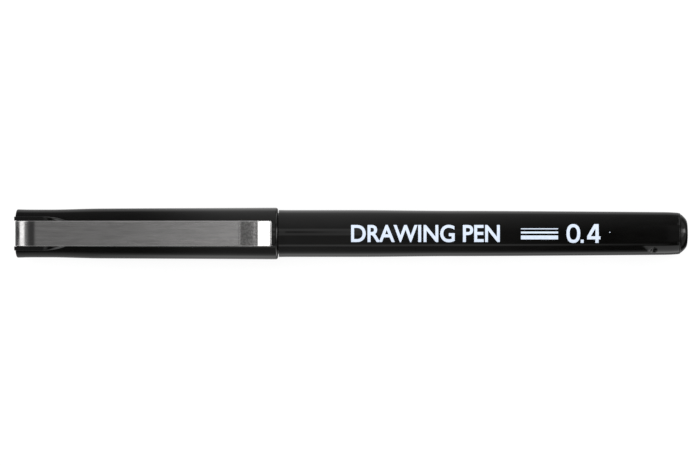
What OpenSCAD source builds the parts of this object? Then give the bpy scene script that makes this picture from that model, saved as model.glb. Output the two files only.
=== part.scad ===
// Capped fibre-tip drawing pen, lying on its side with the clip uppermost.
// X runs along the pen from the closed end of the cap to the tail plug, Y is across, Z is up.
// The origin is the middle of the box around the pen, on the surface that it lies on.
// Stations along the pen (the names that end in _x) are distances from the cap's closed end.

/* [Overall] */
// Length of the capped pen
pen_length = 136; // [134:0.5:140]
// Width of the line that the nib draws
tip_w = 0.4; // [0.3:0.1:0.5]

/* [Cap] */
// Distance from the closed end to the mouth
cap_length = 53.05; // [52.5:0.05:53.1]
// Radius at the mouth, the widest place on the pen
cap_mouth_r = 5.25; // [5.2:0.005:5.3]
// Radius where the straight draft starts
cap_shoulder_r = 5.07; // [5.0:0.01:5.15]
// Radius at the waist behind the closed end
cap_waist_r = 4.85; // [4.8:0.005:4.88]
// Radius at the closed end, just inside its rounded edge
cap_end_r = 4.91; // [4.88:0.01:4.95]
// Thickness of the closed end
cap_end_wall = 2.4; // [2.2:0.1:2.6]
// Radius of the bore that fits over the pen's front section
cap_seat_bore_r = 4.25; // [4.25:0.01:4.3]
// Radius of the bore that holds the inner cap
cap_liner_bore_r = 3.95; // [3.95:0.01:4.0]

/* [Clip] */
// Width of the steel strip
clip_w = 5.1; // [4.8:0.1:5.4]
// Thickness of the steel strip
clip_t = 0.45; // [0.4:0.05:0.5]
// Height of the strip's outer face above the pen's axis
clip_top_h = 8.0; // [7.9:0.1:8.2]
// Outer radius of the bend over the closed end
clip_bend_r = 4.8; // [4.6:0.1:5]
// Station where the straight strip starts to dip
clip_dip_x = 45.3; // [45:0.1:45.6]
// Station where the dip turns into the steep end
clip_drop_x = 48.8; // [48.6:0.1:49]
// Slope of the dip in degrees
clip_dip_deg = 12; // [11:1:13]
// Slope of the steep end in degrees
clip_drop_deg = 27; // [26:1:29]
// Station where the steep end curls down
clip_curl_x = 51.1; // [51:0.05:51.2]
// Slope of the curled tip in degrees
clip_curl_deg = 50; // [48:1:52]

/* [Clip saddle] */
// Half width of the saddle that flanks the strip
saddle_half_w = 3.4; // [3.2:0.05:3.5]
// Height of the saddle's top above the pen's axis
saddle_h = 5.6; // [5.4:0.1:5.8]
// Station where the saddle's sides start to curve inwards
saddle_curve_x = 5.5; // [5.2:0.1:5.8]
// Radius of the saddle's curved sides in plan
saddle_curve_r = 16.6; // [15:0.2:18]

/* [Barrel] */
// Station of the barrel's front face, just behind the cap's mouth
barrel_front_x = 53.2; // [53.2:0.05:53.4]
// Radius of the straight land behind the cap
barrel_land_r = 4.77; // [4.72:0.005:4.8]
// Station where the straight land starts
land_start_x = 54.6; // [54.4:0.1:55]
// Station where the straight land ends
land_end_x = 68; // [66:0.5:70]
// Radius where the barrel's straight draft starts
barrel_draft_r = 4.61; // [4.55:0.01:4.65]
// Radius near the tail, before the end crown
barrel_tail_r = 4.345; // [4.3:0.005:4.4]
// Height of the tail plug's visible head
plug_head_h = 1.73; // [1.6:0.01:1.8]

/* [Writing end] */
// Distance from the cap's closed end to the tip of the nib
nib_tip_x = 14; // [13.5:0.1:14.5]
// Length of bare steel sleeve
sleeve_bare_l = 2.8; // [2.6:0.1:3]
// Outer radius of the steel sleeve
sleeve_r = 0.55; // [0.5:0.01:0.6]
// Radius of the front section where the cap seats
seat_r = 4.17; // [4.1:0.01:4.2]
// Radius of the front section at the grip's front edge
grip_front_r = 3.45; // [3.35:0.05:3.55]

/* [Hidden] */
$fn = 96;

plastic = "#1d1c1b";
steel = "#a9aaa8";

axis_z = cap_mouth_r;          // the pen lies on the rim of its cap
run_gap = 0.02;                // clearance between pieces that slide on each other
arc_steps = 10;

// --- cap
cap_edge_r = 0.3;              // rounding of the closed end's edge
mouth_edge_r = 0.5;            // rounding of the mouth's edge
flare_x = 1.5;                 // the flare behind the closed end
flare_r = 4.875;
waist_x = 3.5;
rise_x = 6.5;                  // the waist ends and the shoulder's rise starts
shoulder_x = 18;
liner_bore_x = 27;             // the bore widens behind the inner cap
seat_bore_x = 41;
bead_x = 47;                   // snap bead on the section and its groove in the cap
bead_half_l = 0.8;
groove_depth = 0.06;

// --- clip: the strip's centre line is a chain of bends joined by straights
half_t = clip_t / 2;
root_bend_r = 0.35;
tang_h = 0.9;                  // height of the tang above the pen's axis
hook_l = 0.9;                  // straight length of the hook behind the end wall
hook_x = cap_end_wall + 0.08 + half_t;
main_bend_r = clip_bend_r - half_t;
main_bend_h = clip_top_h - clip_bend_r;
dip_bend_r = 4;
drop_bend_r = 1.5;
curl_bend_r = 1.2;
clip_rest_gap = 0.08;          // between the free end and the cap
clip_line_h = clip_top_h - half_t;
dip_end = [clip_dip_x + dip_bend_r * sin(clip_dip_deg),
           clip_line_h - dip_bend_r * (1 - cos(clip_dip_deg))];
drop_start = [clip_drop_x, dip_end[1] - (clip_drop_x - dip_end[0]) * tan(clip_dip_deg)];
drop_centre = drop_start - drop_bend_r * [sin(clip_dip_deg), cos(clip_dip_deg)];
drop_end = drop_centre + drop_bend_r * [sin(clip_drop_deg), cos(clip_drop_deg)];
curl_start = [clip_curl_x, drop_end[1] - (clip_curl_x - drop_end[0]) * tan(clip_drop_deg)];
curl_centre = curl_start - curl_bend_r * [sin(clip_drop_deg), cos(clip_drop_deg)];
curl_end = curl_centre + curl_bend_r * [sin(clip_curl_deg), cos(clip_curl_deg)];
free_end_h = cap_mouth_r + clip_rest_gap + half_t * cos(clip_curl_deg);
free_end = [curl_end[0] + (curl_end[1] - free_end_h) / tan(clip_curl_deg), free_end_h];

// --- channel and slot for the clip's root in the cap
channel_w = clip_w + 0.1;
channel_gap = 0.03;
saddle_root_h = 2;             // the saddle starts inside the cap's wall
slot_lift = 0.16;              // room above the tang for the clip to spring open

// --- inner cap
liner_r = cap_liner_bore_r - run_gap;
liner_start_x = cap_end_wall + 0.75;
liner_wall = 0.8;
liner_floor = 0.9;
liner_mouth_x = 26;
liner_bore_r = liner_r - liner_wall;

// --- front section
seal_r = liner_bore_r - run_gap;
seal_x = 23;
nose_x = nib_tip_x + 0.4 + sleeve_bare_l + 3.1;
nose_r = 2.1;
grip_x = liner_mouth_x + 0.6;
bead_r = cap_seat_bore_r - run_gap;
spigot_r = 3.8;
spigot_l = 9.6;
section_bore_r = 3.2;
section_step_x = 47;
ink_chamber_r = 2.4;
holder_end_x = 34;

// --- nib holder, sleeve and nib
holder_r = 1.6;
holder_tip_r = 0.95;
cone_start_x = nib_tip_x + 0.4 + sleeve_bare_l;
sleeve_held_l = 3.2;
sleeve_start_x = nib_tip_x + 0.4;
sleeve_end_x = cone_start_x + sleeve_held_l;
nib_r = tip_w / 2;
nib_shank_r = 0.65;
nib_end_x = 54;

// --- reservoir
fibre_r = 3.05;
wrap_t = 0.1;
reservoir_x = section_step_x + 0.2;
reservoir_end_x = 124;

// --- barrel and plug
front_lip_r = 4.8;
draft_x = 90;
crown_x = 131;                 // the end crown starts
crown_mid_x = 133;
crown_mid_r = 4.3;
plug_seam_x = pen_length - plug_head_h;
barrel_end_r = 4.2;
bore_front_r = 3.6;
bore_tail_r = 3.45;
plug_bore_r = 3.35;
plug_bore_x = 126.5;
rib_w = 0.7;
rib_start_x = barrel_front_x + spigot_l + 0.3;
rib_end_x = 122;
rib_count = 4;
plug_head_r = 4.16;
plug_face_r = 2.25;
plug_edge_r = 1.1;             // rounding between the bevel and the flat end
plug_bevel_round_r = 4;        // the bevel is slightly convex, and tangent to the rounding
plug_meet_deg = 35;
plug_edge_centre = [pen_length - plug_edge_r, plug_face_r];
plug_bevel_centre = plug_edge_centre
    - (plug_bevel_round_r - plug_edge_r) * [cos(plug_meet_deg), sin(plug_meet_deg)];
plug_hollow_r = 2.4;

// Smooth rise from 0 to 1
function ease(t) = (1 - cos(180 * t)) / 2;

// Points of an arc, from angle a0 to a1 in degrees
function arc(c, r, a0, a1) =
    [for (k = [0:arc_steps]) let (a = a0 + (a1 - a0) * k / arc_steps) c + r * [cos(a), sin(a)]];

// Points of a smooth step in radius between two stations
function step_curve(x0, r0, x1, r1) =
    [for (k = [0:arc_steps]) let (t = k / arc_steps) [x0 + (x1 - x0) * t, r0 + (r1 - r0) * ease(t)]];

// Revolves a [station, radius] outline about the pen's axis
module lathe(outline) {
    translate([-pen_length / 2, 0, axis_z])
        rotate([0, 90, 0])
            rotate_extrude()
                polygon([for (p = outline) [p[1], p[0]]]);
}

// Cylinder along the pen between two stations
module rod(x0, x1, r) {
    lathe([[x0, 0], [x0, r], [x1, r], [x1, 0]]);
}

// Extrudes a [station, height above the axis] outline across the pen
module across(outline, w) {
    translate([-pen_length / 2, w / 2, axis_z])
        rotate([90, 0, 0])
            linear_extrude(w)
                polygon(outline);
}

module barrel() {
    color(plastic)
    union() {
        difference() {
            lathe(concat(
                [[barrel_front_x, 0], [barrel_front_x, front_lip_r], [land_start_x, barrel_land_r]],
                step_curve(land_end_x, barrel_land_r, draft_x, barrel_draft_r),
                [for (k = [1:arc_steps]) let (t = k / arc_steps)
                    [draft_x + (crown_x - draft_x) * t,
                     barrel_draft_r + (barrel_tail_r - barrel_draft_r) * pow(t, 1.3)]],
                [[crown_mid_x, crown_mid_r], [plug_seam_x - 0.3, barrel_end_r + 0.03],
                 [plug_seam_x, barrel_end_r], [plug_seam_x, 0]]));
            rod(barrel_front_x - 1, barrel_front_x + spigot_l, spigot_r);
            lathe([[barrel_front_x + spigot_l, 0], [barrel_front_x + spigot_l, bore_front_r],
                   [plug_bore_x, bore_tail_r], [plug_bore_x, 0]]);
            rod(plug_bore_x - 0.1, pen_length, plug_bore_r);
        }
        // Ribs that centre the reservoir and leave air channels along it
        difference() {
            for (k = [0:rib_count - 1])
                translate([rib_start_x - pen_length / 2, 0, axis_z])
                    rotate([45 + k * 360 / rib_count, 0, 0])
                        translate([0, -rib_w / 2, fibre_r])
                            cube([rib_end_x - rib_start_x, rib_w, bore_front_r + 0.2 - fibre_r]);
            rod(barrel_front_x, pen_length, fibre_r + wrap_t);
        }
    }
}

module front_section() {
    color(plastic)
    difference() {
        lathe(concat(
            [[nose_x, 0], [nose_x, nose_r]],
            arc([nose_x + 0.8, nose_r], seal_r - nose_r, 120, 90),
            [[seal_x, seal_r], [grip_x, seal_r], [grip_x + 0.3, grip_front_r]],
            step_curve(grip_x + 0.9, grip_front_r, seat_bore_x + 1, seat_r - 0.05),
            [[seat_bore_x + 2, seat_r], [bead_x - bead_half_l, seat_r], [bead_x - 0.3, bead_r],
             [bead_x + 0.3, bead_r], [bead_x + bead_half_l, seat_r], [barrel_front_x, seat_r],
             [barrel_front_x, spigot_r], [barrel_front_x + spigot_l - 0.3, spigot_r],
             [barrel_front_x + spigot_l - 0.1, spigot_r - 0.2], [barrel_front_x + spigot_l - 0.1, 0]]));
        rod(nose_x - 1, holder_end_x, holder_r);
        rod(holder_end_x - 0.1, section_step_x, ink_chamber_r);
        rod(section_step_x - 0.1, barrel_front_x + spigot_l + 1, section_bore_r);
    }
}

module nib_holder() {
    color("#2a2927")
    difference() {
        lathe([[cone_start_x, 0], [cone_start_x, holder_tip_r - 0.15], [cone_start_x + 0.15, holder_tip_r],
               [nose_x - 0.3, nose_r - 0.15], [nose_x, nose_r - 0.15], [nose_x, holder_r],
               [holder_end_x - 0.5, holder_r], [holder_end_x, holder_r - 0.3], [holder_end_x, 0]]);
        rod(cone_start_x - 1, sleeve_end_x, sleeve_r);
        rod(sleeve_end_x - 0.1, holder_end_x + 1, nib_shank_r);
    }
}

module nib_sleeve() {
    color(steel)
    difference() {
        lathe([[sleeve_start_x, 0], [sleeve_start_x, nib_r + 0.12], [sleeve_start_x + 0.35, sleeve_r],
               [sleeve_end_x, sleeve_r], [sleeve_end_x, 0]]);
        rod(sleeve_start_x - 1, sleeve_end_x + 1, nib_r);
    }
}

module nib() {
    color("#d8d3c4")
    lathe([[nib_tip_x, 0], [nib_tip_x, nib_r * 0.6], [nib_tip_x + 0.12, nib_r],
           [sleeve_end_x, nib_r], [sleeve_end_x + 0.9, nib_shank_r], [nib_end_x - 1, nib_shank_r],
           [nib_end_x, nib_shank_r * 0.4], [nib_end_x, 0]]);
}

module ink_reservoir() {
    color("#2c2f3a")
    difference() {
        rod(reservoir_x, reservoir_end_x, fibre_r);
        lathe([[reservoir_x - 1, 0], [reservoir_x - 1, nib_shank_r], [nib_end_x - 1, nib_shank_r],
               [nib_end_x, nib_shank_r * 0.4], [nib_end_x, 0]]);
    }
}

module reservoir_wrap() {
    color("#c9ccd0")
    difference() {
        rod(reservoir_x, reservoir_end_x, fibre_r + wrap_t);
        rod(reservoir_x - 1, reservoir_end_x + 1, fibre_r);
    }
}

module tail_plug() {
    color(plastic)
    difference() {
        lathe(concat(
            [[reservoir_end_x + 0.3, 0], [reservoir_end_x + 0.3, plug_bore_r - 0.35],
             [plug_bore_x + 0.3, plug_bore_r - 0.25], [plug_bore_x + 0.8, plug_bore_r],
             [plug_seam_x, plug_bore_r], [plug_seam_x, plug_head_r], [plug_seam_x + 0.25, plug_head_r]],
            arc(plug_bevel_centre, plug_bevel_round_r, 58, plug_meet_deg),
            arc(plug_edge_centre, plug_edge_r, plug_meet_deg, 0),
            [[pen_length, 0]]));
        rod(reservoir_end_x - 1, plug_seam_x - 0.4, plug_hollow_r);
        // Notches that let the plug's skirt flex and the air past
        for (turn = [0, 90])
            translate([reservoir_end_x - pen_length / 2, 0, axis_z])
                rotate([turn, 0, 0])
                    translate([-1, -0.5, -plug_bore_r - 1])
                        cube([3.4, 1, 2 * plug_bore_r + 2]);
    }
}

// Plan of the saddle: straight sides that curve in to a point under the strip
module saddle_plan() {
    bow_offset = saddle_curve_r - saddle_half_w;
    union() {
        translate([-pen_length / 2, -saddle_half_w])
            square([saddle_curve_x, 2 * saddle_half_w]);
        translate([saddle_curve_x - pen_length / 2, 0])
            intersection() {
                translate([0, bow_offset]) circle(saddle_curve_r);
                translate([0, -bow_offset]) circle(saddle_curve_r);
                translate([-0.01, -saddle_half_w]) square([saddle_curve_r, 2 * saddle_half_w]);
            }
    }
}

module cap_shell() {
    bend_inner_r = clip_bend_r - clip_t - channel_gap;
    color(plastic)
    difference() {
        union() {
            lathe(concat(
                [[0, 0]],
                arc([cap_edge_r, cap_end_r - cap_edge_r], cap_edge_r, 180, 90),
                [[flare_x, flare_r], [waist_x, cap_waist_r]],
                step_curve(rise_x, cap_waist_r, shoulder_x, cap_shoulder_r),
                arc([cap_length - mouth_edge_r, cap_mouth_r - mouth_edge_r], mouth_edge_r, 90, 0),
                [[cap_length, 0]]));
            translate([0, 0, axis_z + saddle_root_h])
                linear_extrude(saddle_h - saddle_root_h)
                    saddle_plan();
        }
        // Bore: inner cap, taper, seat for the section and the snap groove
        lathe([[cap_end_wall, 0], [cap_end_wall, cap_liner_bore_r], [liner_bore_x, cap_liner_bore_r],
               [seat_bore_x, cap_seat_bore_r], [bead_x - bead_half_l, cap_seat_bore_r],
               [bead_x - 0.4, cap_seat_bore_r + groove_depth], [bead_x + 0.4, cap_seat_bore_r + groove_depth],
               [bead_x + bead_half_l, cap_seat_bore_r], [cap_length - 0.5, cap_seat_bore_r],
               [cap_length, cap_seat_bore_r + 0.2], [cap_length + 1, cap_seat_bore_r + 0.2],
               [cap_length + 1, 0]]);
        // Channel down the end face, and over the bend between the saddle's rails
        across([[-1, tang_h - half_t - channel_gap], [clip_t + channel_gap, tang_h - half_t - channel_gap],
                [clip_t + channel_gap, main_bend_h], [-1, main_bend_h]], channel_w);
        across(concat(
            [[-1, main_bend_h]],
            arc([clip_bend_r, main_bend_h], bend_inner_r, 180, 90),
            [[clip_bend_r, clip_top_h], [-1, clip_top_h]]), channel_w);
        // Slot through the end wall for the tang
        across([[0.1, tang_h - half_t - channel_gap], [cap_end_wall + 0.1, tang_h - half_t - channel_gap],
                [cap_end_wall + 0.1, tang_h + half_t + slot_lift],
                [0.1, tang_h + half_t + slot_lift]], channel_w);
    }
}

module inner_cap() {
    color("#34332f")
    difference() {
        lathe([[liner_start_x, 0], [liner_start_x, liner_r - 0.3], [liner_start_x + 0.3, liner_r],
               [liner_mouth_x - 0.5, liner_r], [liner_mouth_x, liner_r - 0.25], [liner_mouth_x, 0]]);
        lathe([[liner_start_x + liner_floor, 0], [liner_start_x + liner_floor, liner_bore_r - 0.5],
               [liner_start_x + liner_floor + 0.5, liner_bore_r], [liner_mouth_x - 0.3, liner_bore_r],
               [liner_mouth_x + 0.1, liner_bore_r + 0.3], [liner_mouth_x + 0.1, 0]]);
    }
}

// Each bend of the strip: centre, radius, start and end angle, and which side the outer face is on
clip_bends = [
    [[hook_x - root_bend_r, tang_h - root_bend_r], root_bend_r, 0, 90, 1],
    [[half_t + root_bend_r, tang_h + root_bend_r], root_bend_r, 270, 180, -1],
    [[clip_bend_r, main_bend_h], main_bend_r, 180, 90, -1],
    [[clip_dip_x, clip_line_h - dip_bend_r], dip_bend_r, 90, 90 - clip_dip_deg, -1],
    [drop_centre, drop_bend_r, 90 - clip_dip_deg, 90 - clip_drop_deg, -1],
    [curl_centre, curl_bend_r, 90 - clip_drop_deg, 90 - clip_curl_deg, -1],
];
function strip_side(off) = concat(
    [[hook_x + off, tang_h - root_bend_r - hook_l]],
    [for (b = clip_bends) for (p = arc(b[0], b[1] + b[4] * off, b[2], b[3])) p],
    [free_end - off * [sin(clip_curl_deg), cos(clip_curl_deg)]]);
function reversed(v) = [for (k = [len(v) - 1:-1:0]) v[k]];

module clip() {
    color(steel)
    across(concat(strip_side(half_t), reversed(strip_side(-half_t))), clip_w);
}

barrel();
front_section();
nib_holder();
nib_sleeve();
nib();
ink_reservoir();
reservoir_wrap();
tail_plug();
cap_shell();
inner_cap();
clip();
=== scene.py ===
import math

import bmesh
import bpy
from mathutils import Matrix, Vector


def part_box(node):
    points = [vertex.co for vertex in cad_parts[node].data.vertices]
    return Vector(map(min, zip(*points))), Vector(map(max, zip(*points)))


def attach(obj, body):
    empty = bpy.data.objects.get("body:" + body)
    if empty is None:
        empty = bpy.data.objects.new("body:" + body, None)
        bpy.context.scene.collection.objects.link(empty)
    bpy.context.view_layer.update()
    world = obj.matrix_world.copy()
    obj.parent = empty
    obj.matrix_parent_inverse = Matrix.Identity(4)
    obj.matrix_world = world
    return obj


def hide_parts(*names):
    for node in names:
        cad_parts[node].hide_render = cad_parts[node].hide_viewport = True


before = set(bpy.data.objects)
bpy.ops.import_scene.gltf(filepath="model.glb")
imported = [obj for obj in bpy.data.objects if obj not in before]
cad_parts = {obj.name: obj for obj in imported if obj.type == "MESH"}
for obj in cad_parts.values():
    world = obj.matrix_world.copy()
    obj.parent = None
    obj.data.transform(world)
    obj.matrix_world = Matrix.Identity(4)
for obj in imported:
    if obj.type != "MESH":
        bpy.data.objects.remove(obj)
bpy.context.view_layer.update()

# ---------------------------------------------------------------- sizes
# Outlines are in millimetres. A station is a distance from the cap's closed end, a height is above the
# pen's axis.
MM = 0.001
CAP_LOW, CAP_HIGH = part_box("cap_shell")
BARREL_LOW, BARREL_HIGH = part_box("barrel")
CLIP_LOW, CLIP_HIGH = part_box("clip")
SECTION_LOW, SECTION_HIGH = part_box("front_section")
PLUG_LOW, PLUG_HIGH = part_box("tail_plug")
LINER_LOW, LINER_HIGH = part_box("inner_cap")
NIB_LOW, NIB_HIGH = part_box("nib")
SLEEVE_LOW, SLEEVE_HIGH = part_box("nib_sleeve")
HOLDER_LOW, HOLDER_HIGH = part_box("nib_holder")

END_X = CAP_LOW.x                                  # the cap's closed end
AXIS_Z = (BARREL_LOW.z + BARREL_HIGH.z) / 2


def station(x):
    """The distance in millimetres from the cap's closed end to a place in the frame."""
    return (x - END_X) / MM


PEN_L = station(PLUG_HIGH.x)
CAP_L = station(CAP_HIGH.x)
MOUTH_R = (CAP_HIGH.y - CAP_LOW.y) / 2 / MM
BARREL_X = station(BARREL_LOW.x)
SEAM_X = station(BARREL_HIGH.x)
CLIP_W = (CLIP_HIGH.y - CLIP_LOW.y) / MM
CLIP_TOP = (CLIP_HIGH.z - AXIS_Z) / MM
CLIP_T = 0.45

SEGMENTS = 192                                     # round the pen
STEP = 0.8                                         # longest face along a straight outline
EDGE_STEP = 0.05                                   # width of the face beside a rounded corner
TINY = 1e-6                                        # a length taken as none


# ---------------------------------------------------------------- outlines
def arc(centre, radius, start, end, steps=10):
    """Points of an arc between two angles in degrees."""
    turns = [math.radians(start + (end - start) * k / steps) for k in range(steps + 1)]
    return [(centre[0] + radius * math.cos(t), centre[1] + radius * math.sin(t)) for t in turns]


def ease(t):
    """Smooth rise from 0 to 1."""
    return (1 - math.cos(math.pi * t)) / 2


def curve(x0, r0, x1, r1, steps):
    """A smooth step in radius between two stations."""
    return [(x0 + (x1 - x0) * k / steps, r0 + (r1 - r0) * ease(k / steps)) for k in range(steps + 1)]


def rounded(corners, steps=5):
    """An outline through the corners (station, radius, rounding), each corner rounded by its own radius."""
    out = []
    count = len(corners)
    for i, corner in enumerate(corners):
        here = Vector(corner[:2])
        size = corner[2] if len(corner) > 2 else 0
        if not size or i in (0, count - 1):
            out.append(tuple(here))
            continue
        before = Vector(corners[i - 1][:2]) - here
        after = Vector(corners[i + 1][:2]) - here
        half = before.angle(after) / 2
        reach = min(size / math.tan(half), before.length * 0.49, after.length * 0.49)
        start = here + before.normalized() * reach
        end = here + after.normalized() * reach
        for k in range(steps + 1):
            t = k / steps
            out.append(tuple(start * (1 - t) ** 2 + here * 2 * t * (1 - t) + end * t * t))
    return out


def dense(outline, step=STEP):
    """The outline with its long straights split, and a narrow face kept at each of their ends."""
    out = [outline[0]]
    for a, b in zip(outline, outline[1:]):
        a, b = Vector(a), Vector(b)
        length = (b - a).length
        if length < TINY:
            continue
        if length > 4 * EDGE_STEP:
            edge = (b - a) * (EDGE_STEP / length)
            inner = math.ceil((length - 2 * EDGE_STEP) / step)
            out += [tuple(a + edge + (b - a - 2 * edge) * k / inner) for k in range(inner + 1)]
        out.append(tuple(b))
    return out


# ---------------------------------------------------------------- meshes
def to_frame(x, y, h):
    """A point at station x, y across and h above the axis, in the frame's metres."""
    return (END_X + x * MM, y * MM, AXIS_Z + h * MM)


def finish_mesh(mesh, sharp_deg=32):
    """Shades a mesh smooth, with hard edges only where it really folds."""
    limit = math.radians(sharp_deg)
    bm = bmesh.new()
    bm.from_mesh(mesh)
    bmesh.ops.recalc_face_normals(bm, faces=bm.faces)
    for face in bm.faces:
        face.smooth = True
    for edge in bm.edges:
        edge.smooth = len(edge.link_faces) != 2 or edge.calc_face_angle(0) < limit
    bm.to_mesh(mesh)
    bm.free()


def new_piece(name, verts, faces, body, replaced, material):
    """A mesh piece that rides on a body, replaces CAD nodes and carries a material slot."""
    mesh = bpy.data.meshes.new(name)
    mesh.from_pydata(verts, [], faces)
    finish_mesh(mesh)
    piece = bpy.data.objects.new(name, mesh)
    bpy.context.scene.collection.objects.link(piece)
    mesh.materials.append(material)
    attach(piece, body)
    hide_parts(*replaced)
    return piece


def lathe_mesh(outline, segments=SEGMENTS, shift=None):
    """Vertices and faces of a closed outline turned about the axis. Radius 0 closes on the axis.

    shift(x, r, turn) says how far the surface is lowered there, in millimetres, for a dimple.
    """
    verts, rings = [], []
    for x, r in outline:
        if r < TINY:
            rings.append([len(verts)] * segments)
            verts.append(to_frame(x, 0, 0))
            continue
        rings.append(list(range(len(verts), len(verts) + segments)))
        for k in range(segments):
            turn = 2 * math.pi * k / segments
            low = shift(x, r, turn) if shift else 0
            verts.append(to_frame(x, (r - low) * math.sin(turn), (r - low) * math.cos(turn)))
    faces = []
    hollow = outline[0][1] > TINY
    following = rings[1:] + rings[:1] if hollow else rings[1:]
    for a, b in zip(rings, following):
        for k in range(segments):
            n = (k + 1) % segments
            quad = [a[k], a[n], b[n], b[k]]
            face = [v for i, v in enumerate(quad) if v != quad[i - 1]]
            if len(face) > 2:
                faces.append(face)
    return verts, faces


def lathe(name, outline, body, replaced, material, shift=None):
    """A piece turned from an outline."""
    verts, faces = lathe_mesh(outline, shift=shift)
    return new_piece(name, verts, faces, body, replaced, material)


# ---------------------------------------------------------------- materials
def principled(name, **inputs):
    """A new material with a Principled shader. Returns (material, nodes, links, shader)."""
    material = bpy.data.materials.new(name)
    material.use_nodes = True
    nodes, links = material.node_tree.nodes, material.node_tree.links
    shader = nodes["Principled BSDF"]
    for key, value in inputs.items():
        shader.inputs[key.replace("_", " ")].default_value = value
    return material, nodes, links, shader


def object_coords(nodes, links, scale):
    """Object coordinates, stretched by a scale for each axis."""
    coords = nodes.new("ShaderNodeTexCoord")
    mapping = nodes.new("ShaderNodeMapping")
    mapping.inputs["Scale"].default_value = scale
    links.new(coords.outputs["Object"], mapping.inputs["Vector"])
    return mapping.outputs["Vector"]


def noise(nodes, links, scale, detail=3, roughness=0.5):
    """A noise whose grain is set by a scale for each axis, in grains a metre."""
    texture = nodes.new("ShaderNodeTexNoise")
    texture.inputs["Scale"].default_value = 1
    texture.inputs["Detail"].default_value = detail
    texture.inputs["Roughness"].default_value = roughness
    links.new(object_coords(nodes, links, scale), texture.inputs["Vector"])
    return texture.outputs["Fac"]


def remap(nodes, links, value, low, high, start=0.0, end=1.0):
    """Value between start and end, mapped to low and high."""
    ranged = nodes.new("ShaderNodeMapRange")
    ranged.inputs["From Min"].default_value = start
    ranged.inputs["From Max"].default_value = end
    ranged.inputs["To Min"].default_value = low
    ranged.inputs["To Max"].default_value = high
    links.new(value, ranged.inputs["Value"])
    return ranged.outputs["Result"]


def math_node(nodes, links, operation, *values):
    """A math node fed by sockets or numbers."""
    node = nodes.new("ShaderNodeMath")
    node.operation = operation
    for socket, value in zip(node.inputs, values):
        if isinstance(value, (int, float)):
            socket.default_value = value
        else:
            links.new(value, socket)
    return node.outputs[0]


def smooth_step(nodes, links, value, start, end, low=0.0, high=1.0):
    """Rises smoothly from low to high while value goes from start to end."""
    node = nodes.new("ShaderNodeMapRange")
    node.interpolation_type = "SMOOTHSTEP"
    for key, number in (("From Min", start), ("From Max", end), ("To Min", low), ("To Max", high)):
        node.inputs[key].default_value = number
    links.new(value, node.inputs["Value"])
    return node.outputs["Result"]


def window(nodes, links, value, low, high, soft, soft_high=None):
    """1 between low and high, 0 outside, with soft edges."""
    soft_high = soft_high or soft
    rise = smooth_step(nodes, links, value, low - soft, low + soft)
    fall = smooth_step(nodes, links, value, high - soft_high, high + soft_high, 1.0, 0.0)
    return math_node(nodes, links, "MULTIPLY", rise, fall)


def ramp(nodes, links, value, *stops):
    """A colour ramp over a value. Each stop is (place, colour)."""
    node = nodes.new("ShaderNodeValToRGB")
    elements = node.color_ramp.elements
    while len(elements) < len(stops):
        elements.new(0.5)
    for element, (place, colour) in zip(elements, stops):
        element.position = place
        element.color = (*colour, 1)
    links.new(value, node.inputs["Fac"])
    return node.outputs["Color"]


def bump(nodes, links, shader, height, strength, depth):
    """A bump of a real depth in metres."""
    node = nodes.new("ShaderNodeBump")
    node.inputs["Strength"].default_value = strength
    node.inputs["Distance"].default_value = depth
    links.new(height, node.inputs["Height"])
    links.new(node.outputs["Normal"], shader.inputs["Normal"])


def moulded_plastic(name, dark, light, roughness):
    """Moulded plastic: a faint mottle, polish that varies in streaks along the pen, and a slight ripple."""
    material, nodes, links, shader = principled(name, IOR=1.49)
    mottle = noise(nodes, links, (300, 900, 900), 4)
    links.new(ramp(nodes, links, mottle, (0.35, dark), (0.7, light)), shader.inputs["Base Color"])
    scuffs = noise(nodes, links, (60, 9000, 9000), 2)
    polish = remap(nodes, links, scuffs, roughness * 0.85, roughness * 1.25, 0.35, 0.75)
    links.new(polish, shader.inputs["Roughness"])
    peel = noise(nodes, links, (500, 1100, 1100), 2)
    bump(nodes, links, shader, peel, 0.07, 0.00002)
    return material


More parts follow.
